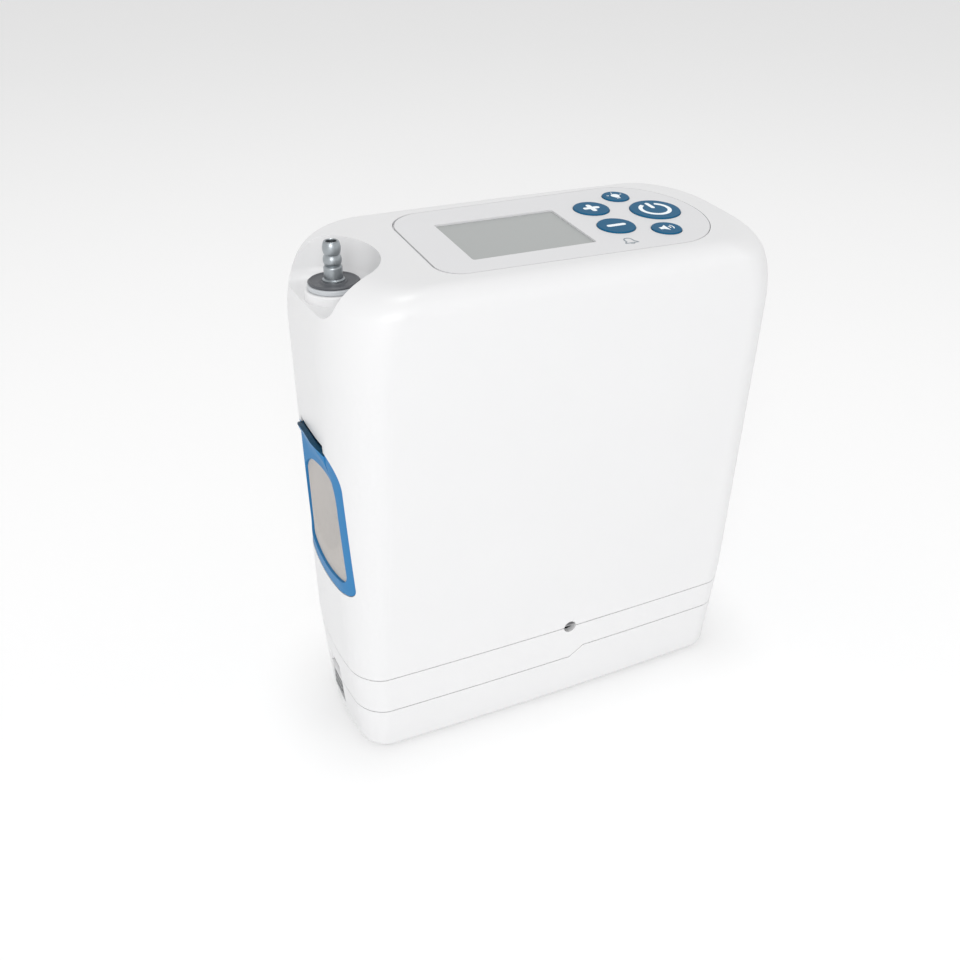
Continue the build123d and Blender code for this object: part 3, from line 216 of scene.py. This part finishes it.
def metal(name, colour, roughness, brush_axis="Z"):
    """Plated or machined metal with fine turning marks and small stains."""
    shader = Shader(name)
    shader.set(Metallic=1.0)
    stains = shader.noise(scale=160, detail=6)
    shader.colour(shader.blend(stains, shade(colour, 0.9), shade(colour, 1.06)))
    wear = shader.noise(scale=400, detail=4)
    shader.rough(shader.span(wear, roughness - 0.06, roughness + 0.08))
    brushing = shader.wave(scale=900, axis=brush_axis, distortion=1.5)
    shader.bump(brushing, distance=0.003 * MM, strength=0.6)
    return shader.material


def rubber(name, colour, roughness=0.7):
    """Soft rubber: matt, with a powdery bloom."""
    shader = Shader(name)
    bloom = shader.noise(scale=260, detail=8, roughness=0.65)
    shader.colour(shader.blend(bloom, shade(colour, 0.85), shade(colour, 1.35)))
    shader.rough(shader.span(bloom, roughness - 0.08, roughness + 0.1))
    shader.bump(shader.noise(scale=1800, detail=3), distance=0.01 * MM)
    return shader.material


def weave(name, light, dark, pitch):
    """Plain woven mesh: crossing threads, one of each a pitch, with small dark gaps."""
    shader = Shader(name)
    shader.set(Sheen_Weight=0.25, Sheen_Roughness=0.5)
    across = shader.wave(0.5 / pitch, axis="Y", distortion=0.25)
    along = shader.wave(0.5 / pitch, axis="Z", distortion=0.25)
    threads = shader.math("MAXIMUM", across, along)
    checks = shader.math("MULTIPLY", across, along)
    fibres = shader.span(shader.noise(scale=900, detail=5), 0.75, 1.1)
    tone = shader.math("MULTIPLY", threads, fibres)
    shader.colour(shader.blend(shader.span(tone, 0, 1, start=0.25, end=0.95), dark, light))
    shader.rough(shader.span(checks, 0.75, 0.95))
    shader.bump(threads, distance=0.12 * MM, strength=0.8)
    return shader.material


def board(name, colour, copper):
    """Circuit board: solder mask over traces, with small plated pads."""
    shader = Shader(name)
    traces = shader.cells(scale=420, feature="DISTANCE_TO_EDGE", randomness=0.35)
    on_trace = shader.span(traces, 1, 0, start=0.03, end=0.05)
    pads = shader.span(shader.cells(scale=260, randomness=0.2), 1, 0, start=0.08, end=0.1)
    mask = shader.add("ShaderNodeMix", data_type="RGBA")
    shader.link(shader.blend(on_trace, colour, shade(colour, 1.7)), mask.inputs["A"])
    mask.inputs["B"].default_value = (*copper, 1)
    shader.link(pads, mask.inputs["Factor"])
    shader.colour(mask.outputs["Result"])
    shader.rough(shader.span(on_trace, 0.3, 0.38))
    shader.bump(on_trace, distance=0.03 * MM)
    return shader.material


def beads(name, colour):
    """Sieve beads packed behind the column wall, darker at each bead's edge: painted shade."""
    shader = Shader(name)
    grains = shader.cells(scale=900)
    # Painted shade: each bead's colour darkens from its centre towards its edge.
    mottle_and_painted_shade = shader.span(grains, 1, 0, start=0, end=0.6)
    shader.colour(shader.blend(mottle_and_painted_shade, shade(colour, 0.45), colour))
    shader.set(Roughness=0.9)
    shader.bump(shader.span(grains, 1, 0), distance=0.25 * MM)
    return shader.material


# ------------------------------------------------------------------ materials
shell_white = plastic(
    "shell_white", (0.735, 0.735, 0.74), roughness=0.36, grain=0.003 * MM, variation=0.012
)
panel_film = plastic(
    "panel_film", (0.70, 0.70, 0.71), roughness=0.42, grain=0.004 * MM, grain_scale=3600
)
key_blue = plastic(
    "key_blue",
    (0.004, 0.10, 0.21),
    roughness=0.45,
    grain=0.005 * MM,
    variation=0.05,
    specular=0.15,
)
print_white = plastic("print_white", (0.88, 0.93, 0.96), roughness=0.45)
print_grey = plastic("print_grey", (0.26, 0.30, 0.33), roughness=0.5, variation=0.05)
filter_blue = plastic(
    "filter_blue",
    (0.03, 0.19, 0.42),
    roughness=0.45,
    grain=0.006 * MM,
    variation=0.05,
    specular=0.2,
)
# Painted shade: the dark navy of the strip laid over each filter's pull lip.
painted_shade_navy = plastic(
    "painted_shade_navy", (0.006, 0.05, 0.10), roughness=0.5, grain=0.01 * MM, variation=0.1, specular=0.2
)
filter_weave = weave(
    "filter_weave", light=(0.60, 0.57, 0.54), dark=(0.30, 0.27, 0.25), pitch=0.55 * MM
)
collar_dark = plastic(
    "collar_dark", (0.085, 0.09, 0.10), roughness=0.42, grain=0.01 * MM, variation=0.12
)
seat_grey = plastic("seat_grey", (0.50, 0.52, 0.54), roughness=0.35, variation=0.05)
grey_plastic = plastic(
    "grey_plastic", (0.30, 0.31, 0.33), roughness=0.5, grain=0.01 * MM, variation=0.06
)
latch_grey = plastic(
    "latch_grey", (0.30, 0.305, 0.31), roughness=0.5, grain=0.012 * MM, variation=0.08
)
black_plastic = plastic(
    "black_plastic", (0.018, 0.018, 0.02), roughness=0.45, grain=0.01 * MM, variation=0.15
)
lcd_grey = plastic("lcd_grey", (0.42, 0.44, 0.44), roughness=0.5)
gasket_grey = rubber("gasket_grey", (0.33, 0.33, 0.34))
black_rubber = rubber("black_rubber", (0.02, 0.02, 0.022))
hose_clear = rubber("hose_clear", (0.62, 0.65, 0.67), roughness=0.35)
cell_wrap = plastic("cell_wrap", (0.06, 0.26, 0.16), roughness=0.3, variation=0.08)
nozzle_metal = metal("nozzle_metal", (0.38, 0.41, 0.43), roughness=0.36)
steel = metal("steel", (0.55, 0.56, 0.58), roughness=0.3)
aluminium = metal("aluminium", (0.74, 0.75, 0.77), roughness=0.36, brush_axis="Y")
brass = metal("brass", (0.80, 0.58, 0.24), roughness=0.28)
board_green = board("board_green", (0.01, 0.14, 0.06), copper=(0.70, 0.50, 0.22))
sieve_beads = beads("sieve_beads", (0.80, 0.74, 0.62))


def screen_material():
    """Switched-off display behind clear film: even grey, with a faint grid of cells."""
    shader = Shader("screen_grey")
    shader.set(Coat_Weight=0.35, Coat_Roughness=0.12)
    columns = shader.wave(scale=500, axis="X")
    rows = shader.wave(scale=500, axis="Y")
    grid = shader.math("MAXIMUM", columns, rows)
    mottle_and_painted_shade = shader.noise(scale=14, detail=2)
    tone = shader.math("ADD", shader.span(grid, 0, 0.25), shader.span(mottle_and_painted_shade, 0.2, 0.75))
    shader.colour(shader.blend(tone, (0.335, 0.35, 0.345), (0.365, 0.38, 0.375)))
    shader.rough(shader.span(mottle_and_painted_shade, 0.3, 0.4))
    return shader.material


screen_grey = screen_material()

FINISHES = {
    shell_white: ["main_housing", "base_tray", "battery_case"],
    panel_film: ["control_panel"],
    screen_grey: ["display_lens"],
    lcd_grey: ["lcd_module"],
    key_blue: ["key_plus", "key_minus", "key_power", "key_light", "key_sound"],
    filter_blue: ["left_filter_frame", "right_filter_frame"],
    filter_weave: ["left_filter_mesh", "right_filter_mesh"],
    nozzle_metal: ["cannula_nozzle"],
    collar_dark: ["nozzle_collar"],
    seat_grey: ["nozzle_seat"],
    latch_grey: ["battery_latch"],
    gasket_grey: ["housing_gasket"],
    black_rubber: ["nozzle_o_ring", "compressor_mounts"],
    grey_plastic: [
        "battery_cover",
        "base_contact_block",
        "battery_contact_block",
        "column_base_manifold",
        "column_top_manifold",
        "product_tank",
        "compressor_bracket",
    ],
    black_plastic: [
        "keypad_domes",
        "buzzer",
        "dc_jack",
        "fan_frame",
        "fan_rotor",
        "compressor_motor",
        "solenoid_valves",
        "oxygen_sensor",
    ],
    steel: ["housing_screws", "latch_spring", "motor_rotor", "nozzle_nut", "dc_jack_pin"],
    aluminium: [
        "compressor_crankcase",
        "cylinder_left",
        "cylinder_right",
        "cylinder_head_left",
        "cylinder_head_right",
        "piston_left",
        "piston_right",
        "cooling_coil",
        "sieve_column_front",
        "sieve_column_rear",
    ],
    brass: ["contact_blades", "cell_strips"],
    board_green: ["display_board", "main_board", "battery_board"],
    cell_wrap: ["battery_cells"],
    sieve_beads: ["sieve_beds"],
    hose_clear: ["product_hose"],
}


# ------------------------------------------------------------------ carried-over CAD nodes
def smooth_by_angle():
    """A node group that shades smooth and keeps edges sharper than the limit."""
    tree = bpy.data.node_groups.new("smooth_by_angle", "GeometryNodeTree")
    tree.interface.new_socket("Geometry", in_out="INPUT", socket_type="NodeSocketGeometry")
    tree.interface.new_socket("Geometry", in_out="OUTPUT", socket_type="NodeSocketGeometry")
    start = tree.nodes.new("NodeGroupInput")
    end = tree.nodes.new("NodeGroupOutput")
    faces = tree.nodes.new("GeometryNodeSetShadeSmooth")
    faces.domain = "FACE"
    edges = tree.nodes.new("GeometryNodeSetShadeSmooth")
    edges.domain = "EDGE"
    edges.inputs["Shade Smooth"].default_value = False
    angle = tree.nodes.new("GeometryNodeInputMeshEdgeAngle")
    sharper = tree.nodes.new("FunctionNodeCompare")
    sharper.data_type = "FLOAT"
    sharper.operation = "GREATER_THAN"
    sharper.inputs["B"].default_value = SMOOTH_ANGLE
    tree.links.new(start.outputs[0], faces.inputs["Geometry"])
    tree.links.new(faces.outputs["Geometry"], edges.inputs["Geometry"])
    tree.links.new(angle.outputs["Unsigned Angle"], sharper.inputs["A"])
    tree.links.new(sharper.outputs["Result"], edges.inputs["Selection"])
    tree.links.new(edges.outputs["Geometry"], end.inputs[0])
    return tree


SMOOTHING = smooth_by_angle()


def soften(piece, bevel):
    """Joins the split vertices of a CAD piece, rounds its edges a little and shades it smooth."""
    if "custom_normal" in piece.data.attributes:
        piece.data.attributes.remove(piece.data.attributes["custom_normal"])
    weld = piece.modifiers.new("weld", "WELD")
    weld.merge_threshold = WELD_DISTANCE
    if bevel:
        edge = piece.modifiers.new("edge", "BEVEL")
        edge.width = bevel
        edge.segments = BEVEL_SEGMENTS
        edge.limit_method = "ANGLE"
        edge.angle_limit = BEVEL_ANGLE
        edge.use_clamp_overlap = True
    smoothing = piece.modifiers.new("smooth", "NODES")
    smoothing.node_group = SMOOTHING
    normals = piece.modifiers.new("normals", "WEIGHTED_NORMAL")
    normals.keep_sharp = True


for material, names in FINISHES.items():
    for name in names:
        piece = nodes[name]
        piece.data.materials.clear()
        piece.data.materials.append(material)
        soften(piece, BEVELS.get(name, 0.0))


# ------------------------------------------------------------------ added pieces
def add_piece(name, mesh, material, body):
    """Turns a bmesh into a piece that rides with a body."""
    bmesh.ops.recalc_face_normals(mesh, faces=mesh.faces)
    data = bpy.data.meshes.new(name)
    mesh.to_mesh(data)
    mesh.free()
    data.materials.append(material)
    piece = bpy.data.objects.new(name, data)
    bpy.context.scene.collection.objects.link(piece)
    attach(piece, body)


def filter_painted_shade_strip(side):
    """A dark navy strip of painted shade along the top of one filter's pull lip."""
    mesh = bmesh.new()
    mesh.from_mesh(nodes[side + "_filter_frame"].data)
    bmesh.ops.remove_doubles(mesh, verts=mesh.verts, dist=WELD_DISTANCE)
    mesh.normal_update()
    others = []
    for face in mesh.faces:
        middle = face.calc_center_median()
        on_lip = middle.z > SHADE_STRIP_LOW_Z and abs(middle.y) < SHADE_STRIP_HALF_WIDTH
        if not on_lip or face.normal.z < SHADE_STRIP_UPWARD:
            others.append(face)
    bmesh.ops.delete(mesh, geom=others, context="FACES")
    raised = bmesh.ops.extrude_face_region(mesh, geom=mesh.faces[:])["geom"]
    top = [item for item in raised if isinstance(item, bmesh.types.BMVert)]
    bmesh.ops.translate(mesh, verts=mesh.verts, vec=(0, 0, SHADE_STRIP_LIFT))
    bmesh.ops.translate(mesh, verts=top, vec=(0, 0, SHADE_STRIP_THICKNESS))
    add_piece(side + "_filter_painted_shade_strip", mesh, painted_shade_navy, side + "_filter")


for side in ("left", "right"):
    filter_painted_shade_strip(side)


# ------------------------------------------------------------------ printed signs
class PanelFace:
    """The sloping plane of the panel or of one key top, across and up from its middle."""

    def __init__(self, node):
        press = next(joint for joint in frame["joints"] if joint["child"] == "key_power")
        self.normal = -Vector(press["axis"]).normalized()
        self.across = Vector((1, 0, 0))
        self.up = self.normal.cross(self.across)
        points = [vertex.co for vertex in nodes[node].data.vertices]
        level = max(point.dot(self.normal) for point in points)
        top = [point for point in points if point.dot(self.normal) > level - FACE_BAND]
        low = Vector(min(point[i] for point in top) for i in range(3))
        high = Vector(max(point[i] for point in top) for i in range(3))
        middle = (low + high) / 2
        self.centre = middle + self.normal * (level - middle.dot(self.normal))

    def point(self, x, y, lift):
        return self.centre + self.across * x + self.up * y + self.normal * lift


def add_plate(mesh, face, outline):
    """One closed outline, as a thin raised print."""
    low = [mesh.verts.new(face.point(x, y, PRINT_LIFT)) for x, y in outline]
    high = [mesh.verts.new(face.point(x, y, PRINT_LIFT + PRINT_THICKNESS)) for x, y in outline]
    mesh.faces.new(high)
    mesh.faces.new(list(reversed(low)))
    for i in range(len(outline)):
        j = (i + 1) % len(outline)
        mesh.faces.new((low[i], low[j], high[j], high[i]))


def around(x, y, radius, degrees):
    """The point at an angle round a centre."""
    angle = math.radians(degrees)
    return x + radius * math.cos(angle), y + radius * math.sin(angle)


def turned(points, degrees, x=0.0, y=0.0):
    """Points turned about the origin, then moved by x and y."""
    cosine, sine = math.cos(math.radians(degrees)), math.sin(math.radians(degrees))
    return [(x + px * cosine - py * sine, y + px * sine + py * cosine) for px, py in points]


def round_end(reach, width):
    """The half circle that ends a stroke along +x."""
    return [
        around(reach, 0, width / 2, -90 + 180 * i / ROUND_END_STEPS)
        for i in range(ROUND_END_STEPS + 1)
    ]


def bar(length, width, x=0.0, y=0.0, turn=0.0):
    """A straight stroke with round ends."""
    end = round_end(length / 2 - width / 2, width)
    return turned(end + turned(end, 180), turn, x, y)


def plus_sign(length, width):
    """A plus with round ends, as one outline."""
    arm = [(width / 2, -width / 2)] + round_end(length / 2 - width / 2, width)
    return [point for turn in (0, 90, 180, 270) for point in turned(arm, turn)]


def arc_band(radius, width, start, sweep, x=0.0, y=0.0, steps=40):
    """A curved stroke between two angles, in degrees."""
    angles = [start + sweep * i / steps for i in range(steps + 1)]
    outer = [around(x, y, radius + width / 2, angle) for angle in angles]
    inner = [around(x, y, radius - width / 2, angle) for angle in angles]
    return outer + inner[::-1]


def bell_outline(size):
    """A bell's right half, a dome on a flared skirt, and its mirror image."""
    steps = 8
    dome = []
    for i in range(steps + 1):
        angle = math.pi / 2 * i / steps
        dome.append((size * 0.62 * math.cos(angle), size * (0.35 + 0.65 * math.sin(angle))))
    skirt = [(size, -0.75 * size), (size, -0.6 * size), (size * 0.66, -0.25 * size)]
    right = skirt + dome
    left = [(-x, y) for x, y in reversed(right)]
    return right + left[1:]


def stroke(points, width):
    """A ribbon of even width along a closed line, one quad a side, with mitred corners."""
    points = [Vector(point) for point in points]
    count = len(points)
    edges = []
    for i in range(count):
        before = (points[i] - points[i - 1]).normalized()
        after = (points[(i + 1) % count] - points[i]).normalized()
        across = Vector((-before.y - after.y, before.x + after.x)).normalized()
        reach = width / 2 / max(across.dot(Vector((-after.y, after.x))), MITRE_LIMIT)
        edges.append((tuple(points[i] - across * reach), tuple(points[i] + across * reach)))
    return [
        [edges[i][0], edges[(i + 1) % count][0], edges[(i + 1) % count][1], edges[i][1]]
        for i in range(count)
    ]


def lamp_sign(size):
    """A lamp: a round bulb on its cap, with three rays."""
    bulb = [around(0, 0.1 * size, 0.52 * size, angle) for angle in range(-50, 231, 14)]
    bulb += [(-0.26 * size, -0.52 * size), (0.26 * size, -0.52 * size)]
    cap = bar(0.52 * size, 0.16 * size, y=-0.72 * size)
    rays = [
        bar(0.3 * size, 0.13 * size, *around(0, 0.12 * size, 0.88 * size, angle), turn=angle)
        for angle in (15, 90, 165)
    ]
    return [bulb, cap] + rays


def sound_sign(size):
    """A loudspeaker with two sound waves."""
    cone = [
        (-0.85, -0.28),
        (-0.45, -0.28),
        (0.05, -0.72),
        (0.05, 0.72),
        (-0.45, 0.28),
        (-0.85, 0.28),
    ]
    cone = [(size * x, size * y) for x, y in cone]
    waves = [arc_band(size * radius, size * 0.14, -38, 76, steps=12) for radius in (0.42, 0.8)]
    return [cone] + waves


def print_sign(name, body, node, plates, material, x=0.0, y=0.0):
    """One printed sign on a key or on the panel, riding with it."""
    face = PanelFace(node)
    mesh = bmesh.new()
    for outline in plates:
        add_plate(mesh, face, [(px + x, py + y) for px, py in outline])
    add_piece(name, mesh, material, body)


SIGNS = {
    "key_plus": [plus_sign(PLUS_LENGTH, PLUS_WIDTH)],
    "key_minus": [bar(MINUS_LENGTH, MINUS_WIDTH)],
    "key_power": [
        arc_band(POWER_RING_RADIUS, POWER_RING_WIDTH, POWER_RING_START, POWER_RING_SWEEP),
        bar(POWER_BAR_LENGTH, POWER_BAR_WIDTH, y=POWER_BAR_Y, turn=90),
    ],
    "key_light": lamp_sign(SMALL_SIGN_SIZE),
    "key_sound": sound_sign(SMALL_SIGN_SIZE),
}
for key, plates in SIGNS.items():
    print_sign(key.replace("key_", "sign_"), key, key, plates, print_white)

panel_low, panel_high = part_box("control_panel")
alarm_x = ALARM_X - (panel_low.x + panel_high.x) / 2
alarm = stroke(bell_outline(BELL_SIZE), BELL_STROKE)
alarm.append(arc_band(CLAPPER_RADIUS, CLAPPER_WIDTH, 180, 180, y=CLAPPER_Y, steps=10))
print_sign(
    "sign_alarm", "casing", "control_panel", alarm, print_grey, alarm_x, ALARM_Y
)


# ------------------------------------------------------------------ stage, light and camera
def stage_floor():
    """A wide white floor, lit a little from within so that it stays pale in the distance."""
    reach = FLOOR_HALF_SIZE
    corners = [(-reach, -reach, 0), (reach, -reach, 0), (reach, reach, 0), (-reach, reach, 0)]
    data = bpy.data.meshes.new("floor")
    data.from_pydata(corners, [], [(0, 1, 2, 3)])
    floor = bpy.data.objects.new("floor", data)
    shader = Shader("floor_white")
    mottle = shader.noise(scale=3, detail=2)
    shader.colour(shader.blend(mottle, (0.95, 0.95, 0.95), (0.96, 0.96, 0.96)))
    shader.set(Roughness=0.8, Emission_Color=(1, 1, 1, 1), Emission_Strength=FLOOR_GLOW)
    data.materials.append(shader.material)
    bpy.context.scene.collection.objects.link(floor)


def area_light(name, place, size, power):
    """A soft round light that shines on the object."""
    data = bpy.data.lights.new(name, "AREA")
    data.shape = "DISK"
    data.size = size
    data.energy = power
    light = bpy.data.objects.new(name, data)
    light.location = place
    towards = Vector(LIGHT_TARGET) - Vector(place)
    light.rotation_euler = towards.to_track_quat("-Z", "Y").to_euler()
    bpy.context.scene.collection.objects.link(light)


def studio_light():
    """A white room, darker overhead, with one soft light from the front left and one overhead."""
    world = bpy.data.worlds.new("studio")
    world.use_nodes = True
    tree = world.node_tree
    place = tree.nodes.new("ShaderNodeTexCoord")
    height = tree.nodes.new("ShaderNodeSeparateXYZ")
    level = tree.nodes.new("ShaderNodeMapRange")
    level.inputs["From Min"].default_value = 0.0
    level.inputs["From Max"].default_value = 1.0
    level.inputs["To Min"].default_value = HORIZON_LEVEL
    level.inputs["To Max"].default_value = ZENITH_LEVEL
    tree.links.new(place.outputs["Generated"], height.inputs["Vector"])
    tree.links.new(height.outputs["Z"], level.inputs["Value"])
    background = tree.nodes["Background"]
    background.inputs["Color"].default_value = (1, 1, 1, 1)
    tree.links.new(level.outputs["Result"], background.inputs["Strength"])
    bpy.context.scene.world = world
    area_light("key", KEY_PLACE, KEY_SIZE, KEY_POWER)
    area_light("overhead", OVERHEAD_PLACE, OVERHEAD_SIZE, OVERHEAD_POWER)


def camera():
    """The camera, in front of the object, to its left and above it."""
    azimuth = math.radians(CAMERA_AZIMUTH)
    elevation = math.radians(CAMERA_ELEVATION)
    roll = math.radians(CAMERA_ROLL)
    back = Vector(
        (
            math.sin(azimuth) * math.cos(elevation),
            -math.cos(azimuth) * math.cos(elevation),
            math.sin(elevation),
        )
    )
    right = Vector((math.cos(azimuth), math.sin(azimuth), 0))
    up = back.cross(right)
    rolled_right = right * math.cos(roll) + up * math.sin(roll)
    rolled_up = up * math.cos(roll) - right * math.sin(roll)
    data = bpy.data.cameras.new("camera")
    data.sensor_width = CAMERA_SENSOR
    data.lens = CAMERA_LENS
    data.clip_start = CAMERA_CLIP_START
    view = bpy.data.objects.new("camera", data)
    turn = Matrix((rolled_right, rolled_up, back)).transposed().to_4x4()
    view.matrix_world = Matrix.Translation(Vector(CAMERA_TARGET) + back * CAMERA_DISTANCE) @ turn
    bpy.context.scene.collection.objects.link(view)
    bpy.context.scene.camera = view


stage_floor()
studio_light()
camera()
bpy.context.scene.view_settings.view_transform = "Standard"
